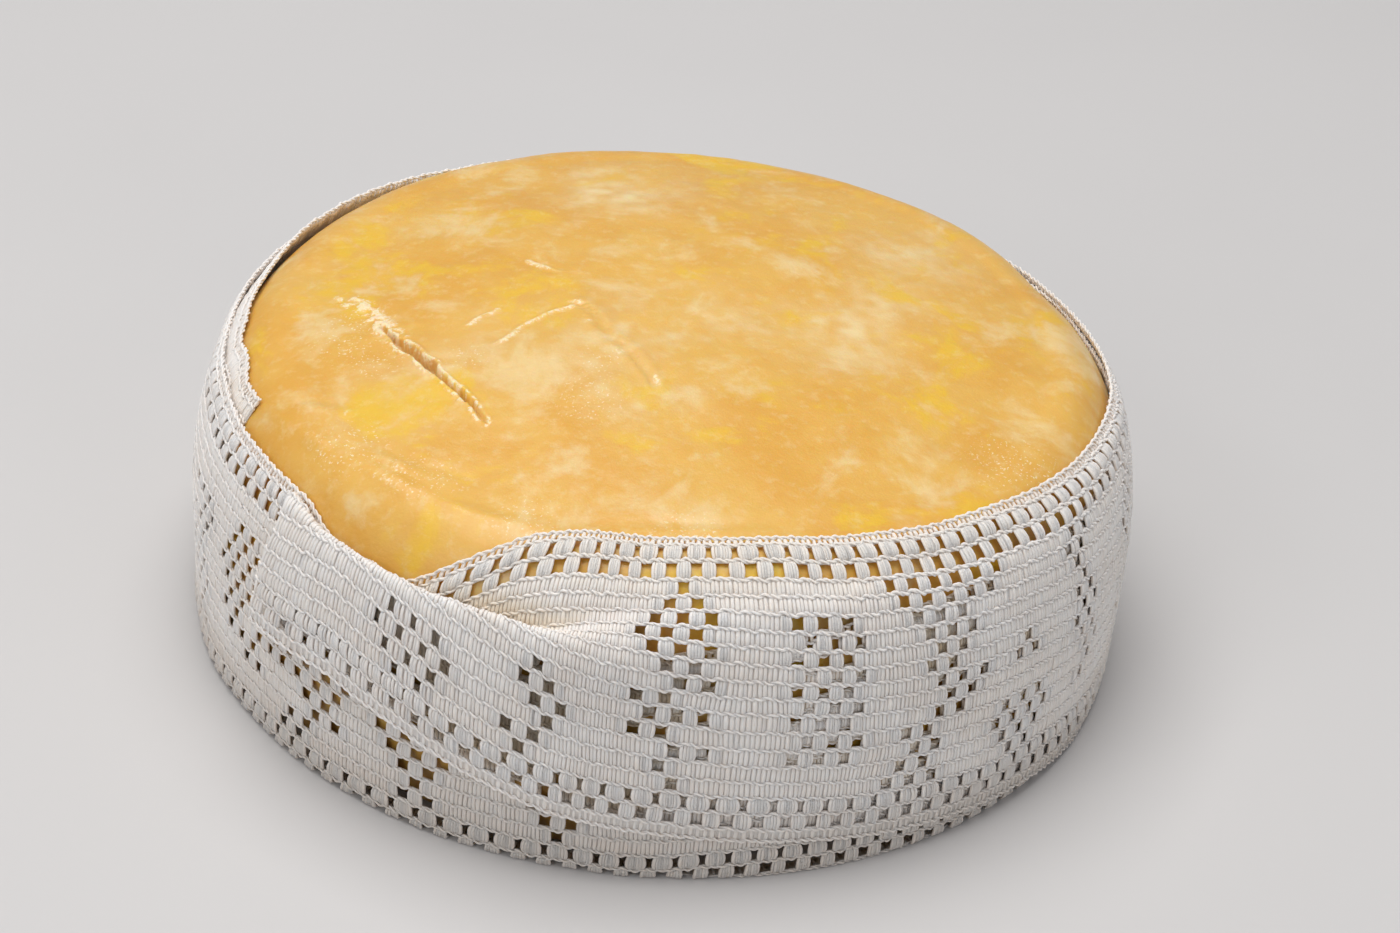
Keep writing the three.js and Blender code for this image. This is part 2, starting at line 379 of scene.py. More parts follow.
def new_piece(name, points, corners, sizes, flat, material):
    """A mesh from its points, its faces' corners and their sizes, with the flat strip as its UV map."""
    mesh = bpy.data.meshes.new(name)
    mesh.vertices.add(len(points))
    mesh.vertices.foreach_set("co", (points * MM).astype(np.float32).ravel())
    mesh.loops.add(len(corners))
    mesh.loops.foreach_set("vertex_index", corners.astype(np.int32))
    mesh.polygons.add(len(sizes))
    starts = np.concatenate([[0], np.cumsum(sizes)[:-1]]).astype(np.int32)
    mesh.polygons.foreach_set("loop_start", starts)
    mesh.polygons.foreach_set("use_smooth", np.ones(len(sizes), bool))
    if flat is not None:
        layer = mesh.uv_layers.new(name="OFBake")
        layer.uv.foreach_set("vector", flat[corners].astype(np.float32).ravel())
    mesh.materials.append(material)
    mesh.update(calc_edges=True)
    piece = bpy.data.objects.new(name, mesh)
    bpy.context.scene.collection.objects.link(piece)
    return piece


def places_of(mesh):
    """The mesh's points, in millimetres."""
    place = np.empty(len(mesh.vertices) * 3, np.float32)
    mesh.vertices.foreach_get("co", place)
    return place.reshape(-1, 3).astype(float) / MM


def mark_shares(mesh, shares):
    """Keeps each point's shares of the finishes on the mesh, for its material."""
    for name, value in shares.items():
        mesh.attributes.new(name, "FLOAT", "POINT").data.foreach_set("value", value.astype(np.float32))


FLATNESS = 0.85  # of a thread, which is pressed a little against the rind
THREAD_SIDES = 6


def thread_mesh(along, across, lift, thick, upright, sides):
    """Closed threads from arrays [thread, station] of the flat strip. Upright ones run across the strip."""
    threads, stations = along.shape
    angle = 2 * np.pi * np.arange(sides) / sides
    aside = thick[..., None] * np.cos(angle)
    raised = lift[..., None] + FLATNESS * thick[..., None] * np.sin(angle)
    u = along[..., None] + (aside if upright else 0.0)
    v = across[..., None] + (0.0 if upright else aside)
    u, v = np.broadcast_to(u, raised.shape), np.broadcast_to(v, raised.shape)
    skin = [c.reshape(threads, -1) for c in (u, v, raised)]
    tips = [np.stack([c[:, 0], c[:, -1]], 1) for c in (along, across, lift)]
    flat = [np.concatenate(pair, 1) for pair in zip(skin, tips)]
    points = settled(*flat)
    per = stations * sides + 2
    k = np.arange(sides)
    nxt = (k + 1) % sides
    ring = np.arange(stations - 1)[:, None] * sides
    quads = np.stack([ring + k, ring + nxt, ring + sides + nxt, ring + sides + k], -1).reshape(-1, 4)
    last = (stations - 1) * sides
    caps = np.concatenate([
        np.stack([np.full(sides, per - 2), nxt, k], -1),
        np.stack([np.full(sides, per - 1), last + k, last + nxt], -1),
    ])
    if not upright:
        quads, caps = quads[:, ::-1], caps[:, ::-1]
    start = np.arange(threads)[:, None, None] * per
    corners = np.concatenate([(quads + start).reshape(threads, -1), (caps + start).reshape(threads, -1)], 1)
    sizes = np.tile(np.concatenate([np.full(len(quads), 4), np.full(len(caps), 3)]), threads)
    return points.reshape(-1, 3), corners.reshape(-1), sizes, flat


def flat_map(along, across):
    """Where points of the flat strip are on its map, which has a margin all round."""
    return np.stack([
        (0.02 + 0.96 * (along / STRIP_LENGTH)).ravel(),
        (0.04 + 0.92 * (across / STRIP_WIDTH)).ravel(),
    ], -1)


def threads_piece(name, bunch, upright, material):
    """One piece from a bunch of threads. The sides of a thread are spread a little on its map."""
    points, corners, sizes, (along, across, lift) = thread_mesh(*bunch, upright, THREAD_SIDES)
    flat = np.clip(flat_map(along, across + 0.3 * lift), 0.0, 1.0)
    return new_piece(name, points, corners, sizes, flat, material)


RIBS_PER_CELL = 6
TRIM_RIBS = 4
RIB_THICK = 0.32
RIB_STATIONS = np.array([0.0, 0.16, 0.36, 0.64, 0.84, 1.0])
RIB_SWELL = np.array([0.62, 0.95, 1.06, 1.06, 0.95, 0.62])
RIB_BELLY = np.sin(np.pi * RIB_STATIONS) ** 0.8
# Where the ribs beside an open cell and a slit stand, from its middle, and how far each bows sideways
OPEN_RIBS = ((1.20, -0.16), (1.52, -0.08))
SLIT_RIBS = ((0.98, -0.32), (1.28, -0.18), (1.58, -0.07))
PLEAT_SQUEEZE = (0.34, 26.0, 34.0)  # how much the pleat closes its open cells, and where along it that fades


def rib_bunches(segments):
    """Every upright thread of the strip, sorted into segments along it."""
    chance = np.random.default_rng(SEED + 1)
    found = []
    for row in range(1, ROWS + 1):
        low, high = ROW_LINES[ROWS - row], ROW_LINES[ROWS + 1 - row]
        for cell in range(-1, CELLS + 1):
            kind = cell_kind(min(max(cell, 0), CELLS - 1), row)
            middle = cell_middle(cell, row)
            if kind == SOLID:
                pitch = CELL / RIBS_PER_CELL
                spots = [((k + 0.5) * pitch - CELL / 2, 0.0) for k in range(RIBS_PER_CELL)]
                arch = 0.12
            else:
                closed = PLEAT_SQUEEZE[0] * (1 - smooth(middle, *PLEAT_SQUEEZE[1:]))
                side = [(s - closed, b) for s, b in (OPEN_RIBS if kind == OPEN else SLIT_RIBS)]
                spots = side + [(-s, -b) for s, b in side] + [(CELL / 2, 0.0)]
                if cell_kind(max(cell - 1, 0), row) == SOLID:
                    spots.append((-CELL / 2, 0.0))
                arch = 0.26 if kind == OPEN else 0.40
            for spot, bow in spots:
                if 0.1 < middle + spot < STRIP_LENGTH - 0.1:
                    found.append((middle + spot, low, high, bow, arch, 1.0 if kind == SOLID else 0.9))
    for low, high in ((0.35, FOOT_TRIM), (STRIP_WIDTH - TOP_TRIM, STRIP_WIDTH - 0.35)):
        for k in range(TRIM_RIBS * CELLS):
            found.append(((k + 0.5) * CELL / TRIM_RIBS, low, high, 0.0, 0.0, 1.0))
    ribs = np.array(found)
    jitter = chance.normal(0, 1, (len(ribs), 4))
    middle = ribs[:, 0] + 0.035 * jitter[:, 0]
    along = middle[:, None] + ribs[:, 3:4] * RIB_BELLY + 0.05 * jitter[:, 1:2] * (RIB_STATIONS - 0.5)
    across = ribs[:, 1:2] + (ribs[:, 2:3] - ribs[:, 1:2]) * RIB_STATIONS
    lift = ribs[:, 4:5] * RIB_BELLY + 0.05 * jitter[:, 2:3] * RIB_BELLY
    thick = RIB_THICK * ribs[:, 5:6] * RIB_SWELL * (1 + 0.08 * jitter[:, 3:4])
    which = np.clip((middle / STRIP_LENGTH * segments).astype(int), 0, segments - 1)
    return [tuple(a[which == s] for a in (along, across, lift, thick)) for s in range(segments)]


CHAIN_STEP = 0.3
CHAIN_TURN = CELL / 1.5  # two plies turn round each other, and show three bumps to a cell
PLY_THICK = 0.19
PLY_REACH = 0.16
CHAIN_LIFT = 0.17
CHAIN_SAG = 0.09  # between the pads that it runs over
EDGE_SCALLOP = 0.14


def chain_bunches(segments):
    """The two-ply chains between the rows and along the edges, sorted into segments along the strip."""
    chance = np.random.default_rng(SEED + 2)
    lines = [(height, 0.0) for height in ROW_LINES] + [(0.34, -1.0), (STRIP_WIDTH - 0.34, 1.0)]
    steps = int(STRIP_LENGTH / segments / CHAIN_STEP)
    phases = chance.uniform(0, 2 * np.pi, len(lines))
    made = []
    for s in range(segments):
        low = STRIP_LENGTH * s / segments
        at = np.linspace(low, low + STRIP_LENGTH / segments, steps + 1)
        along, across, lift, thick = [], [], [], []
        for number, ((height, edge), phase) in enumerate(zip(lines, phases)):
            pads_at = 0.75 if number % 2 else 0.25
            sag = CHAIN_SAG * (1 - abs(edge)) * np.cos(2 * np.pi * (at / CELL - pads_at))
            for ply in (0, np.pi):
                turn = 2 * np.pi * at / CHAIN_TURN + phase + ply
                zigzag = 0.10 * np.sin(2 * np.pi * at / CELL * 1.5 + phase)
                scallop = edge * EDGE_SCALLOP * np.abs(np.sin(np.pi * at / CELL * 3 + phase))
                pull = 0.04 * noise(at / 0.8, height * 3.1 + ply, 51.0)
                along.append(at)
                across.append(height + PLY_REACH * np.cos(turn) + zigzag + scallop + pull - sag)
                lift.append(CHAIN_LIFT + PLY_REACH * np.sin(turn) + pull)
                thick.append(PLY_THICK * (1 + 0.14 * noise(at / 0.7, height * 1.7 + ply, 61.0)))
        made.append(tuple(np.array(a) for a in (along, across, lift, thick)))
    return made


# Where the columns of the cloth start in a cell. An open cell takes three, and the middle one is its middle.
GROUND_BREAKS = (-0.11, 0.11, 0.39, 0.61)


def ground_mesh():
    """The thin cloth behind the ribs: one closed two-faced sheet with the open cells cut right through."""
    columns = len(GROUND_BREAKS) * CELLS
    heights = [0.45, FOOT_TRIM]
    for low, high in zip(ROW_LINES[:-1], ROW_LINES[1:]):
        rise = high - low
        heights += [low + 0.12 * rise, high - 0.12 * rise, high]
    solid = np.ones((columns, len(heights) - 1), bool)
    for row in range(1, ROWS + 1):
        band = 2 + 3 * (ROWS - row)
        for cell in range(CELLS):
            if cell_kind(cell, row) != SOLID:
                first = 4 * cell + (2 if row % 2 else 0)
                solid[max(first, 0) : min(first + 3, columns), band] = False
    breaks = (np.arange(CELLS)[:, None] + np.array(GROUND_BREAKS)).ravel()
    along = np.concatenate([[0.15], breaks[1:] * CELL, [STRIP_LENGTH - 0.15]])
    u, v = np.meshgrid(along, heights, indexing="ij")
    half = 0.11
    faces_up = settled(u, v, np.full(u.shape, half)).reshape(-1, 3)
    faces_down = settled(u, v, np.full(u.shape, -half)).reshape(-1, 3)
    across_count = len(heights)
    base = np.arange(columns)[:, None] * across_count + np.arange(across_count - 1)
    below = len(faces_up)
    corner = np.stack([base, base + across_count, base + across_count + 1, base + 1], -1)
    top = corner[solid]
    quads = [top, top[:, ::-1] + below]
    padded = np.pad(solid, 1)
    here = padded[1:-1, 1:-1]
    sides = (
        (padded[:-2, 1:-1], 3, 0),
        (padded[1:-1, :-2], 0, 1),
        (padded[2:, 1:-1], 1, 2),
        (padded[1:-1, 2:], 2, 3),
    )
    for neighbour, a, b in sides:
        wall = corner[here & ~neighbour]
        quads.append(np.stack([wall[:, a], wall[:, a] + below, wall[:, b] + below, wall[:, b]], -1))
    corners = np.concatenate(quads)
    used, corners = np.unique(corners, return_inverse=True)
    corners = corners.reshape(-1, 4)
    points = np.concatenate([faces_up, faces_down])[used]
    flat = np.tile(flat_map(u, v), (2, 1))[used]
    return points, corners.ravel(), np.full(len(corners), 4), flat


# ---------------------------------------------------------------- the cheese

AROUND = 560
CROWN_ROWS, SHOULDER_ROWS, FOOT_ROWS, BASE_ROWS = 72, 50, 16, 7


def wheel_line():
    """(radius, height) from near the middle of the top, over the shoulder, to near the middle of the base."""
    top = crown(np.linspace(0.012, 1, CROWN_ROWS))
    side = shoulder(np.linspace(math.pi / 2, 0, SHOULDER_ROWS + 1))[1:]
    turn = np.linspace(math.pi / 2, 0, FOOT_ROWS + 1)[1:]
    foot = np.stack([
        BASE_RADIUS + (WHEEL_RADIUS - BASE_RADIUS) * np.sin(turn),
        BULGE_HEIGHT * (1 - np.cos(turn)),
    ], -1)
    base = np.stack([np.linspace(BASE_RADIUS, 1.0, BASE_ROWS + 1)[1:], np.zeros(BASE_ROWS)], -1)
    return np.concatenate([top, side, foot, base])


def plan(azimuth, radius):
    turn = math.radians(azimuth)
    return (radius * math.cos(turn), radius * math.sin(turn))


def plan_line(*stops):
    """A line on the top, seen from above, through its (azimuth, radius) stops."""
    return [plan(*stop) for stop in stops]


SPLIT = plan_line((192, 43.6), (199, 41.6), (205, 40.0), (213, 39.5), (221, 39.5), (228, 40.2), (233.5, 41.6))
SPLIT_CRUMBS = plan_line((178, 51.6), (181, 47.8), (185.5, 45.0), (191, 43.0), (196, 42.0))
SCRATCHES = [
    plan_line((210.5, 30.0), (207, 26.4), (202.5, 23.0), (198, 19.6), (193, 16.6), (189.5, 14.6)),
    plan_line((198, 31.6), (194.5, 29.3), (189.7, 26.1)),
    plan_line((155, 25.8), (156.8, 23.0), (159.5, 19.6)),
]
CREASE = plan_line((190, 14.6), (203, 13.2), (217, 13.6), (232, 14.6), (245, 16.0), (256, 18.6), (265, 22.8))
RIM_WRINKLES = [
    plan_line(
        (206, 62.0), (214, 60.8), (220.6, 60.1), (228, 59.1),
        (236, 58.5), (242, 58.2), (249, 57.8), (258, 56.8),
    ),
    plan_line((262, 56.0), (270, 54.6), (279, 54.2), (290, 54.8)),
    plan_line((209, 60.0), (212, 57.0), (216, 53.0)),
    plan_line((224, 57.2), (234, 55.6), (244, 54.0)),
]

DENTS = ((57.5, 31.5, 0.9, 8.0), (-46.0, 8.0, 0.5, 11.0), (20.0, -8.0, 0.5, 12.0))  # x, y, depth, reach

# Milky clouds, and patches of tiny flakes with painted glints, on the top, as (azimuth, radius, reach)
MILKY_PATCHES = (
    (352, 24, 9.0), (300, 4, 10.0), (228, 17, 8.0), (215, 38, 7.0), (218, 50, 6.0),
    (105, 40, 9.0), (38, 45, 9.0), (20, 34, 6.0), (262, 26, 7.0), (200, 26, 5.0),
)
FLAKE_AND_GLINT_PATCHES = (
    (205, 46, 4.0), (196, 50, 4.5), (190, 47, 5.0), (212, 34, 3.5), (248, 30, 6.0), (235, 55, 5.0),
    (252, 56, 5.0), (222, 58, 6.0), (330, 57, 8.0), (275, 54, 5.0), (240, 20, 4.0),
)


def near_line(x, y, line):
    """(distance to a line in plan, share of the way along it, signed side) of each point."""
    points = np.array(line)
    lengths = walked(points)
    best = np.full(x.shape, 1e9)
    share = np.zeros(x.shape)
    side = np.zeros(x.shape)
    for i in range(len(points) - 1):
        a, d = points[i], points[i + 1] - points[i]
        size = np.hypot(*d)
        t = np.clip(((x - a[0]) * d[0] + (y - a[1]) * d[1]) / size**2, 0, 1)
        dx, dy = x - a[0] - t * d[0], y - a[1] - t * d[1]
        distance = np.hypot(dx, dy)
        nearer = distance < best
        best = np.where(nearer, distance, best)
        share = np.where(nearer, (lengths[i] + t * size) / lengths[-1], share)
        side = np.where(nearer, np.sign(d[0] * dy - d[1] * dx), side)
    return best, share, side


def bell(x, width):
    return np.exp(-((x / width) ** 2))


def patchy(x, y, patches):
    """How much the round patches cover each point of the plan."""
    cover = 0.0
    for azimuth, radius, reach in patches:
        middle = plan(azimuth, radius)
        cover = cover + bell(np.hypot(x - middle[0], y - middle[1]), reach)
    return cover


def rind_relief(points):
    """How far the rind stands off its plain outline, and each point's shares of the finishes, by name."""
    x, y, z = points.T
    top = smooth(z, 40, 46)
    lumps = 0.42 * noise(x / 21, y / 21, z / 21) + 0.17 * noise(x / 8, y / 8, z / 8 + 9)
    waxy = 0.05 * noise(x / 2.6, y / 2.6, z / 2.6 + 17) + 0.03 * noise(x / 1.3, y / 1.3, z / 1.3 + 23)
    relief = lumps * (0.35 + 0.65 * top) + waxy * top + 0.18 * (1 - smooth(z, 36, 44))
    for dent_x, dent_y, depth, reach in DENTS:
        relief -= depth * bell(np.hypot(x - dent_x, y - dent_y), reach)
    pale = np.zeros(len(x))
    broken = noise(x / 1.9, y / 1.9, 3.0)
    fine = noise(x / 0.7, y / 0.7, 13.0)
    for line in RIM_WRINKLES:
        distance, share, side = near_line(x + 0.5 * broken, y + 0.5 * fine, line)
        fade = smooth(share, 0, 0.15) * (1 - smooth(share, 0.85, 1)) * top
        fade *= 0.55 + 0.45 * noise(x / 4, y / 4, 5.0)
        relief += fade * (0.42 * bell(distance, 1.1) - 0.34 * bell(distance - 1.7, 1.0) * (side > 0))
        # The pale colour along each wrinkle's ridge is partly a painted highlight, where the ridge catches
        # the light.
        pale += 0.45 * fade * bell(distance, 0.9) * smooth(broken + fine, -0.2, 0.5)
    for line in SCRATCHES:
        distance, share, _ = near_line(x + 0.35 * broken, y + 0.3 * fine, line)
        fade = smooth(share, 0, 0.1) * (1 - smooth(share, 0.9, 1))
        relief += fade * (0.20 * bell(distance, 0.4) - 0.12 * bell(distance - 0.8, 0.4))
        pale += fade * bell(distance, 0.42) * (0.4 + 0.6 * smooth(fine, -0.4, 0.4))
    distance, _, _ = near_line(x + 0.4 * broken, y + 0.4 * fine, CREASE)
    relief -= 0.3 * bell(distance, 0.6) - 0.16 * bell(distance - 1.2, 0.7)
    pale += 0.6 * bell(distance - 0.9, 0.5) * smooth(broken + 0.6 * fine, 0.35, 0.8)
    distance, share, _ = near_line(x + 0.5 * broken, y + 0.45 * fine, SPLIT_CRUMBS)
    crumbs = bell(distance, 1.5) * smooth(share, 0, 0.2)
    relief += crumbs * (0.30 * fine + 0.22)
    pale += 1.2 * crumbs * smooth(fine + 0.5 * broken, -0.6, 0.2)
    distance, share, _ = near_line(x + 0.35 * broken, y + 0.3 * fine, SPLIT)
    gape = np.sin(np.pi * np.clip(share * 0.94 + 0.03, 0, 1)) ** 0.6
    width = 0.72 * gape * (1 + 0.45 * noise(share * 9, 0.0, 71.0))
    opened = 1 - smooth(distance, width * 0.45, width * 1.05 + 0.05)
    relief -= 1.7 * opened * gape
    lip = bell(distance - width - 0.35, 0.42)
    relief += 0.34 * lip * gape * (1 + 0.6 * fine) * (1 - opened)
    lip_flakes = bell(distance - width - 0.30, 0.40) * smooth(fine + 0.4 * broken, -0.5, 0.25)
    pale += 1.1 * lip_flakes * (0.4 + 0.6 * gape)
    milky = patchy(x, y, MILKY_PATCHES) * (0.75 + 0.5 * broken)
    # Where pale specks are painted: partly flakes, partly painted glints of light.
    flake_and_glint = patchy(x, y, FLAKE_AND_GLINT_PATCHES)
    shares = {"pale": pale, "opened": opened * gape, "milky": milky * top, "flake_and_glint": flake_and_glint * top}
    return relief, {name: np.clip(value, 0, 1) for name, value in shares.items()}


def cheese_piece(material):
    line = wheel_line()
    along = np.gradient(line, axis=0)
    along /= np.linalg.norm(along, axis=1)[:, None]
    out = np.stack([-along[:, 1], along[:, 0]], -1)
    turn = 2 * np.pi * np.arange(AROUND) / AROUND
    rows = len(line)
    across = line[:, None, 0] * np.ones(AROUND)
    points = np.stack([across * np.cos(turn), across * np.sin(turn), line[:, None, 1] * np.ones(AROUND)], -1)
    middle = len(points.reshape(-1, 3))
    points = np.concatenate([points.reshape(-1, 3), [[0, 0, WHEEL_HEIGHT], [0, 0, 0]]])
    k = np.arange(AROUND)
    nxt = (k + 1) % AROUND
    ring = np.arange(rows - 1)[:, None] * AROUND
    quads = np.stack([ring + k, ring + AROUND + k, ring + AROUND + nxt, ring + nxt], -1).reshape(-1, 4)
    last = (rows - 1) * AROUND
    caps = np.concatenate([
        np.stack([np.full(AROUND, middle), k, nxt], -1),
        np.stack([np.full(AROUND, middle + 1), last + nxt, last + k], -1),
    ])
    corners = np.concatenate([quads.ravel(), caps.ravel()])
    sizes = np.concatenate([np.full(len(quads), 4), np.full(len(caps), 3)])
    piece = new_piece("ripened_cheese", points, corners, sizes, None, material)
    refine_near_split(piece)
    mesh = piece.data
    place = places_of(mesh)
    radius = np.hypot(place[:, 0], place[:, 1])
    relief, shares = rind_relief(place)
    shares["side"] = 1 - smooth(place[:, 2], 6, 36)
    outward = outline_normal(radius, place[:, 2], line, out)
    resting = smooth(place[:, 2], 0.0, 6.0)
    shift = (relief * resting)[:, None]
    around = place[:, :2] / np.maximum(radius, 1e-6)[:, None]
    moved = place + np.concatenate([around * outward[:, :1], outward[:, 1:]], 1) * shift
    moved[:, 2] = np.clip(moved[:, 2], 0.0, None)
    mesh.vertices.foreach_set("co", (moved * MM).astype(np.float32).ravel())
    mark_shares(mesh, shares)
    mesh.update()
    return piece


def outline_normal(radius, height, line, out):
    """The outline's outward direction nearest to each point, by its angle about a point inside the wheel."""
    inside = 24.0
    key = np.arctan2(line[:, 1] - inside, line[:, 0] * 0.5)
    order = np.argsort(key)
    angle = np.arctan2(height - inside, radius * 0.5)
    found = np.stack([np.interp(angle, key[order], out[order, k]) for k in range(2)], -1)
    return found / np.linalg.norm(found, axis=1)[:, None]


def refine_near_split(piece):
    """Finer faces where the rind has split, so that the split has real walls."""
    made = bmesh.new()
    made.from_mesh(piece.data)
    made.edges.ensure_lookup_table()
    for line, reach in ((SPLIT, 3.0), (SPLIT_CRUMBS, 2.2)):
        middles = np.array([(e.verts[0].co + e.verts[1].co) / 2 for e in made.edges]) / MM
        distance = near_line(middles[:, 0], middles[:, 1], line)[0]
        near = np.flatnonzero((distance < reach) & (middles[:, 2] > 40))
        chosen = [made.edges[i] for i in near]
        cuts = 2 if line is SPLIT else 1
        bmesh.ops.subdivide_edges(made, edges=chosen, cuts=cuts, use_grid_fill=True)
        made.edges.ensure_lookup_table()
    made.to_mesh(piece.data)
    made.free()
    for face in piece.data.polygons:
        face.use_smooth = True


# ---------------------------------------------------------------- shader writing


class Socket:
    """A node's output, on which arithmetic adds Math nodes."""

    def __init__(self, shader, output):
        self.shader, self.output = shader, output

    def _math(self, operation, a, b):
        return self.shader.node("ShaderNodeMath", {"operation": operation}, {0: a, 1: b})

    def __add__(self, other):
        return self._math("ADD", self, other)

    __radd__ = __add__

    def __mul__(self, other):
        return self._math("MULTIPLY", self, other)

    __rmul__ = __mul__

    def __sub__(self, other):
        return self._math("SUBTRACT", self, other)

    def __rsub__(self, other):
        return self._math("SUBTRACT", other, self)

    def between(self, low, high):
        """0 below low, 1 above high, and smooth between."""
        inputs = {"Value": self, "From Min": low, "From Max": high}
        return self.shader.node("ShaderNodeMapRange", {"interpolation_type": "SMOOTHSTEP"}, inputs)


class Shader:
    """One material and its nodes."""

    def __init__(self, name):
        self.material = bpy.data.materials.new(name)
        self.material.use_nodes = True
        self.tree = self.material.node_tree
        self.surface = self.tree.nodes["Principled BSDF"]

    def node(self, kind, settings=None, inputs=None, output=0):
        made = self.tree.nodes.new(kind)
        for name, value in (settings or {}).items():
            setattr(made, name, value)
        for key, value in (inputs or {}).items():
            self.feed(made.inputs[key], value)
        return Socket(self, made.outputs[output])

    def feed(self, socket, value):
        if isinstance(value, Socket):
            self.tree.links.new(value.output, socket)
        elif isinstance(value, tuple) and len(value) == 3 and socket.type == "RGBA":
            socket.default_value = (*value, 1)
        else:
            socket.default_value = value

    def set(self, **values):
        for name, value in values.items():
            self.feed(self.surface.inputs[name.replace("_", " ")], value)

    def place(self, scale=(1, 1, 1)):
        """The piece's own coordinates, in millimetres."""
        where = self.node("ShaderNodeTexCoord", output=3)
        size = tuple(s / MM for s in scale)
        return self.node("ShaderNodeVectorMath", {"operation": "MULTIPLY"}, {0: where, 1: size})

    def noise(self, where, grain, detail=3.0, rough=0.55, twist=0.0, shift=0.0):
        """Noise with grains of that many millimetres."""
        moved = self.node("ShaderNodeVectorMath", {"operation": "ADD"}, {0: where, 1: (shift,) * 3})
        inputs = {"Vector": moved, "Scale": 1 / grain, "Detail": detail}
        inputs.update(Roughness=rough, Distortion=twist)
        return self.node("ShaderNodeTexNoise", {}, inputs)

    def blend(self, share, low, high):
        """One colour over another, by share."""
        inputs = {"Factor": share, 6: low, 7: high}
        return self.node("ShaderNodeMix", {"data_type": "RGBA"}, inputs, output=2)

    def attribute(self, name):
        return self.node("ShaderNodeAttribute", {"attribute_name": name}, output=2)

    def bump(self, height, strength, depth, below=None):
        inputs = {"Height": height, "Strength": strength, "Distance": depth * MM}
        if below is not None:
            inputs["Normal"] = below
        return self.node("ShaderNodeBump", {}, inputs)


AMBER = (0.73, 0.432, 0.092)
ORANGE = (0.695, 0.368, 0.060)
YELLOW = (0.765, 0.480, 0.034)
CREAM = (0.785, 0.625, 0.330)
CRUMB_AND_GLINT = (0.82, 0.680, 0.430)
OCHRE = (0.44, 0.250, 0.060)
DEPTH = (0.58, 0.330, 0.100)


def rind_material():
    """Waxy amber rind: cream and yellow clouds, an ochre side, pale crumbs where it is broken, and pale
    specks that are partly painted glints.
    """
    made = Shader("amber_rind")
    where = made.place()
    clouds = made.noise(where, 15, detail=7, rough=0.62)
    patches = made.noise(where, 13, detail=7, rough=0.62, twist=0.35, shift=40)
    flecks = made.noise(where, 2.0, detail=5, rough=0.65, shift=90)
    veins = made.noise(where, 17, detail=6, rough=0.60, twist=0.5, shift=140)
    colour = made.blend(clouds.between(0.38, 0.66), ORANGE, AMBER)
    milky = made.attribute("milky")
    colour = made.blend(patches.between(0.50, 0.68) * 0.60, colour, CREAM)
    colour = made.blend(milky * clouds.between(0.66, 0.38) * 0.95, colour, CREAM)
    colour = made.blend(veins.between(0.51, 0.63) * patches.between(0.62, 0.45) * 0.85, colour, YELLOW)
    colour = made.blend(flecks.between(0.50, 0.72) * 0.30, colour, CREAM)
    colour = made.blend(made.attribute("side") * 0.9, colour, OCHRE)
    specks = made.noise(where, 0.42, detail=2, rough=0.5, shift=330)
    pale_flakes_and_glints = made.attribute("pale") * (0.7 + specks.between(0.45, 0.58))
    # Painted glints: pale specks where the waxy rind catches the light, partly real flakes.
    pale_flakes_and_glints = pale_flakes_and_glints + made.attribute("flake_and_glint") * specks.between(0.60, 0.68)
    colour = made.blend(pale_flakes_and_glints.between(0.05, 1.0), colour, CRUMB_AND_GLINT)
    colour = made.blend(made.attribute("opened"), colour, DEPTH)
    grain = made.noise(where, 0.55, detail=4, rough=0.65, shift=200)
    pits = made.noise(where, 2.6, detail=4, rough=0.55, shift=260)
    shine = made.noise(where, 6.0, detail=3, shift=300)
    soft = made.bump(pits, 0.30, 0.35)
    made.set(
        Base_Color=colour,
        Roughness=0.34 + 0.20 * shine.between(0.35, 0.7) + 0.25 * made.attribute("pale"),
        Normal=made.bump(grain, 0.55, 0.12, soft),
        Coat_Weight=0.22 - 0.18 * made.attribute("pale"),
        Coat_Roughness=0.22,
        Coat_IOR=1.45,
        Subsurface_Weight=0.35,
        Subsurface_Radius=(1.0, 0.42, 0.12),
        Subsurface_Scale=3.2 * MM,
        IOR=1.44,
    )
    return made.material


COTTON = (0.93, 0.858, 0.800)
COTTON_SHADE = (0.895, 0.805, 0.735)
WHEY_STAIN_AND_RIND_LIGHT = (0.84, 0.68, 0.50)
# Painted shade: the lace's colour towards its foot
FOOT_SHADE = (0.56, 0.490, 0.430)


def cotton_material(name, painted_brightness):
    """Matt white cotton with a fine fuzz, and a warm tint where it lies straight on the rind: partly taken-up
    fat and partly painted warm light from the amber rind.
    """
    made = Shader(name)
    where = made.place()
    worn = made.noise(where, 7, detail=4, rough=0.6)
    fibres = made.noise(where, 0.34, detail=3, rough=0.7, shift=60)
    # A lit or shaded copy of the same cotton: its colour scaled by painted light or shade.
    low = tuple(c * painted_brightness for c in COTTON_SHADE)
    high = tuple(c * painted_brightness for c in COTTON)
    colour = made.blend(worn.between(0.35, 0.65), low, high)
    # Partly a fat stain, partly painted light: the amber of the rind shining through and onto the cotton.
    colour = made.blend(made.attribute("stain_and_rind_light"), colour, WHEY_STAIN_AND_RIND_LIGHT)
    # Painted shade: the cotton is painted darker and greyer towards its foot.
    colour = made.blend(made.attribute("foot_shade"), colour, FOOT_SHADE)
    made.set(
        Base_Color=colour,
        Roughness=0.82 + 0.12 * fibres.between(0.35, 0.65),
        Normal=made.bump(fibres, 0.9, 0.16),
        Specular_IOR_Level=0.35,
        Sheen_Weight=0.25,
        Sheen_Roughness=0.4,
        Sheen_Tint=(1.0, 0.97, 0.94),
        Subsurface_Weight=0.7,
        Subsurface_Radius=(1.0, 0.88, 0.78),
        Subsurface_Scale=0.9 * MM,
    )
    return made.material


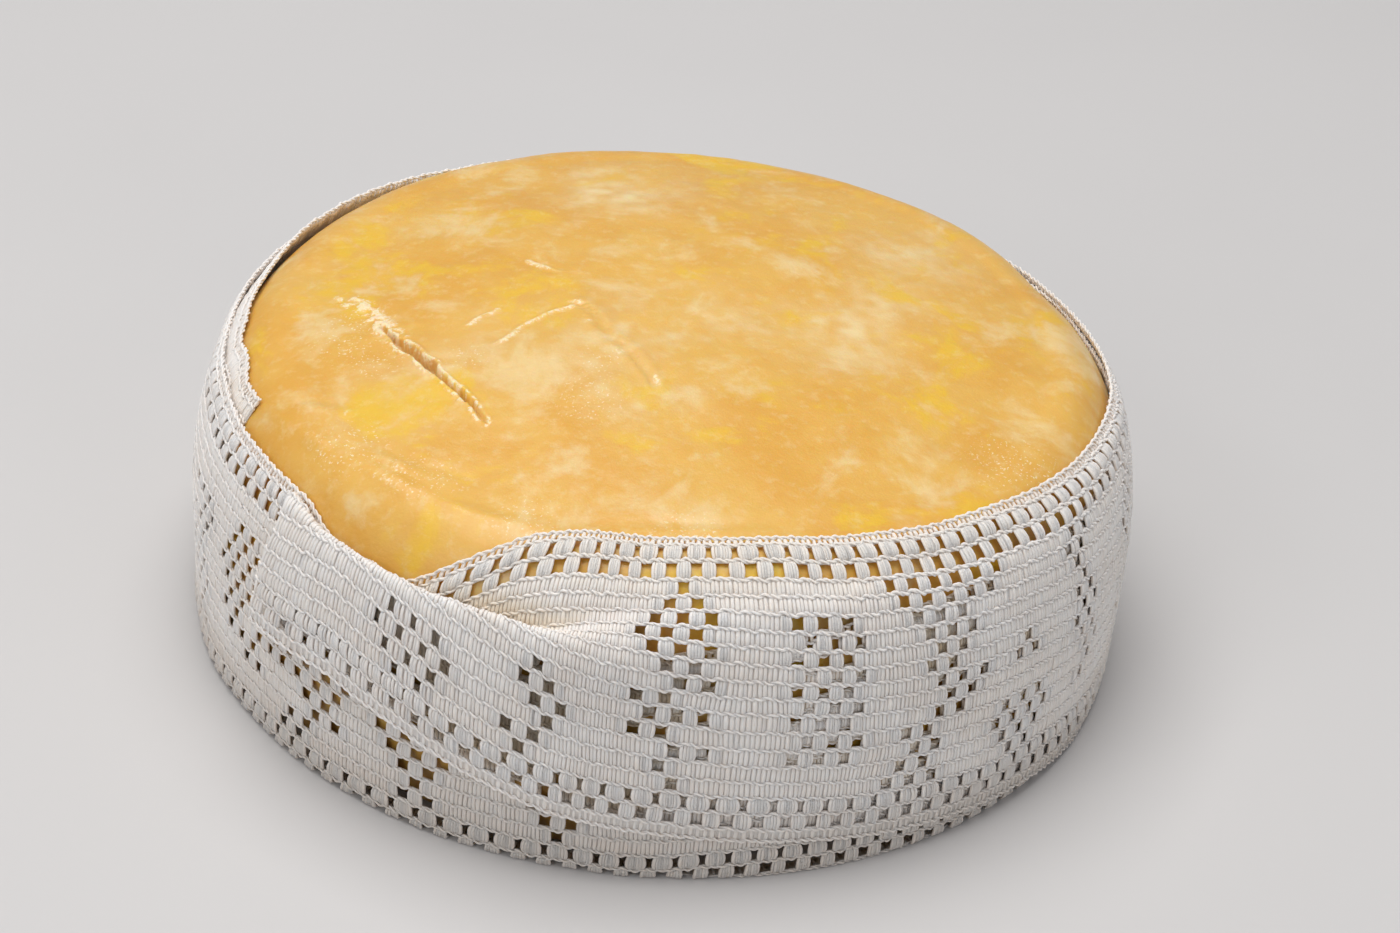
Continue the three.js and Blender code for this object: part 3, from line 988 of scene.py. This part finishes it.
def mark_lace_stain_light_and_shade(piece):
    """Marks where the lace has taken up fat from the rind, with painted warm light from the translucent amber
    rind in the same tint, and painted shade, darker towards its foot.
    """
    place = places_of(piece.data)
    x, y, z = place.T
    radius = np.hypot(x, y)
    azimuth = np.degrees(np.arctan2(y, x)) % 360
    outline = wheel_line()[::-1]
    gap = radius - np.interp(z, outline[:, 1], outline[:, 0])
    top = smooth(z, 41.0, 47.0) * np.clip(-y / radius, 0, 1) ** 0.5
    close = 1 - smooth(gap, 0.5, 1.5)
    front_span = smooth(azimuth, 228, 236) * (1 - smooth(azimuth, 340, 352))
    behind = 1.0 + 1.2 * (1 - smooth(azimuth, 256, 272))
    covered = smooth(z - value_at(FOOT_EDGE, azimuth), 0, 3) * (1 - smooth(z, 38, 43))
    under = (1 - smooth(gap, behind - 0.15, behind + 0.15)) * front_span * covered
    clouds = 0.75 + 0.25 * noise(x / 9, y / 9, z / 9)
    mark_shares(piece.data, {
        # Partly a fat stain and partly painted light: the rind's amber glow through the close lace and into
        # the shaded inner turn.
        "stain_and_rind_light": np.clip((0.34 * top + 0.28 * close + 0.95 * under) * clouds, 0, 1),
        # Painted shade, darker towards the foot.
        "foot_shade": 0.75 * (1 - smooth(z, 0.0, 15.0)) * (0.85 + 0.15 * clouds),
    })


# ---------------------------------------------------------------- making the pieces

SEGMENTS = 8
# Lit and shaded copies of one cotton: the ground behind the ribs is painted a little darker as painted shade,
# the chains on top a little brighter as painted light.
GROUND_COTTON = cotton_material("cotton_ground", 0.94)
RIB_COTTON = cotton_material("cotton_ribs", 1.0)
CHAIN_COTTON = cotton_material("cotton_chains", 1.03)

cheese = cheese_piece(rind_material())
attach(cheese, "root")
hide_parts("cheese_wheel")

ground = new_piece("lace_ground", *ground_mesh(), GROUND_COTTON)
threads = []
for number, bunch in enumerate(rib_bunches(SEGMENTS), 1):
    threads.append(threads_piece(f"lace_ribs_{number}", bunch, True, RIB_COTTON))
for number, bunch in enumerate(chain_bunches(SEGMENTS), 1):
    threads.append(threads_piece(f"lace_chains_{number}", bunch, False, CHAIN_COTTON))

for piece in [ground, *threads]:
    mark_lace_stain_light_and_shade(piece)
    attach(piece, "root")
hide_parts("lace_band")

# ---------------------------------------------------------------- floor, light and camera


def pale_floor():
    made = Shader("pale_floor")
    where = made.place()
    made.set(
        Base_Color=made.blend(made.noise(where, 90, detail=2), (0.56, 0.55, 0.545), (0.59, 0.58, 0.575)),
        Roughness=0.75,
        Specular_IOR_Level=0.2,
    )
    mesh = bpy.data.meshes.new("floor")
    reach, back, rise, bend, steps = 1.6, 0.9, 1.2, 0.45, 16
    profile = [(-reach, 0.0), (back, 0.0)]
    for k in range(1, steps + 1):
        turn = math.pi / 2 * k / steps
        profile.append((back + bend * math.sin(turn), bend * (1 - math.cos(turn))))
    profile.append((back + bend, rise + bend))
    points = [(x, y, z) for y, z in profile for x in (-2.2, 2.2)]
    faces = [(2 * k, 2 * k + 1, 2 * k + 3, 2 * k + 2) for k in range(len(profile) - 1)]
    mesh.from_pydata(points, [], faces)
    mesh.materials.append(made.material)
    for face in mesh.polygons:
        face.use_smooth = True
    floor = bpy.data.objects.new("floor", mesh)
    bpy.context.scene.collection.objects.link(floor)
    return floor


def soft_light(name, place, aim, size, watts, colour=(1, 1, 1)):
    data = bpy.data.lights.new(name, "AREA")
    data.shape, data.size, data.size_y = "RECTANGLE", size[0], size[1]
    data.energy, data.color = watts, colour
    lamp = bpy.data.objects.new(name, data)
    lamp.location = place
    lamp.rotation_mode = "QUATERNION"
    lamp.rotation_quaternion = (Vector(aim) - Vector(place)).to_track_quat("-Z", "Y")
    bpy.context.scene.collection.objects.link(lamp)


def studio_camera():
    """Looks down on the wheel from the front with a long lens, turned a little about its own axis."""
    elevation, distance, roll = math.radians(32.2), 0.4978, math.radians(5.07)
    target = Vector((0.00533, -0.00173, 0.025))
    forward = Vector((0, math.cos(elevation), -math.sin(elevation)))
    level, upward = Vector((1, 0, 0)), Vector((0, math.sin(elevation), math.cos(elevation)))
    right = level * math.cos(roll) + upward * math.sin(roll)
    up = upward * math.cos(roll) - level * math.sin(roll)
    data = bpy.data.cameras.new("camera")
    data.lens, data.sensor_width, data.sensor_fit = 85.0, 36.0, "HORIZONTAL"
    data.clip_start, data.clip_end = 0.01, 20
    camera = bpy.data.objects.new("camera", data)
    spot = target - forward * distance
    camera.matrix_world = Matrix((
        (right.x, up.x, -forward.x, spot.x),
        (right.y, up.y, -forward.y, spot.y),
        (right.z, up.z, -forward.z, spot.z),
        (0, 0, 0, 1),
    ))
    bpy.context.scene.collection.objects.link(camera)
    bpy.context.scene.camera = camera


def studio():
    pale_floor()
    soft_light("overhead", (-0.12, 0.05, 0.95), (0, 0, 0.03), (0.8, 0.7), 7.8, (1.0, 0.985, 0.97))
    soft_light("front_left", (-0.65, -0.85, 0.75), (0, 0, 0.03), (0.6, 0.6), 3.1)
    soft_light("right_fill", (0.8, -0.8, 0.6), (0, 0, 0.03), (0.7, 0.7), 1.4)
    world = bpy.data.worlds.new("studio")
    world.use_nodes = True
    world.node_tree.nodes["Background"].inputs["Color"].default_value = (0.95, 0.96, 1.0, 1)
    world.node_tree.nodes["Background"].inputs["Strength"].default_value = 0.36
    bpy.context.scene.world = world
    bpy.context.scene.view_settings.view_transform = "Standard"


studio()
studio_camera()
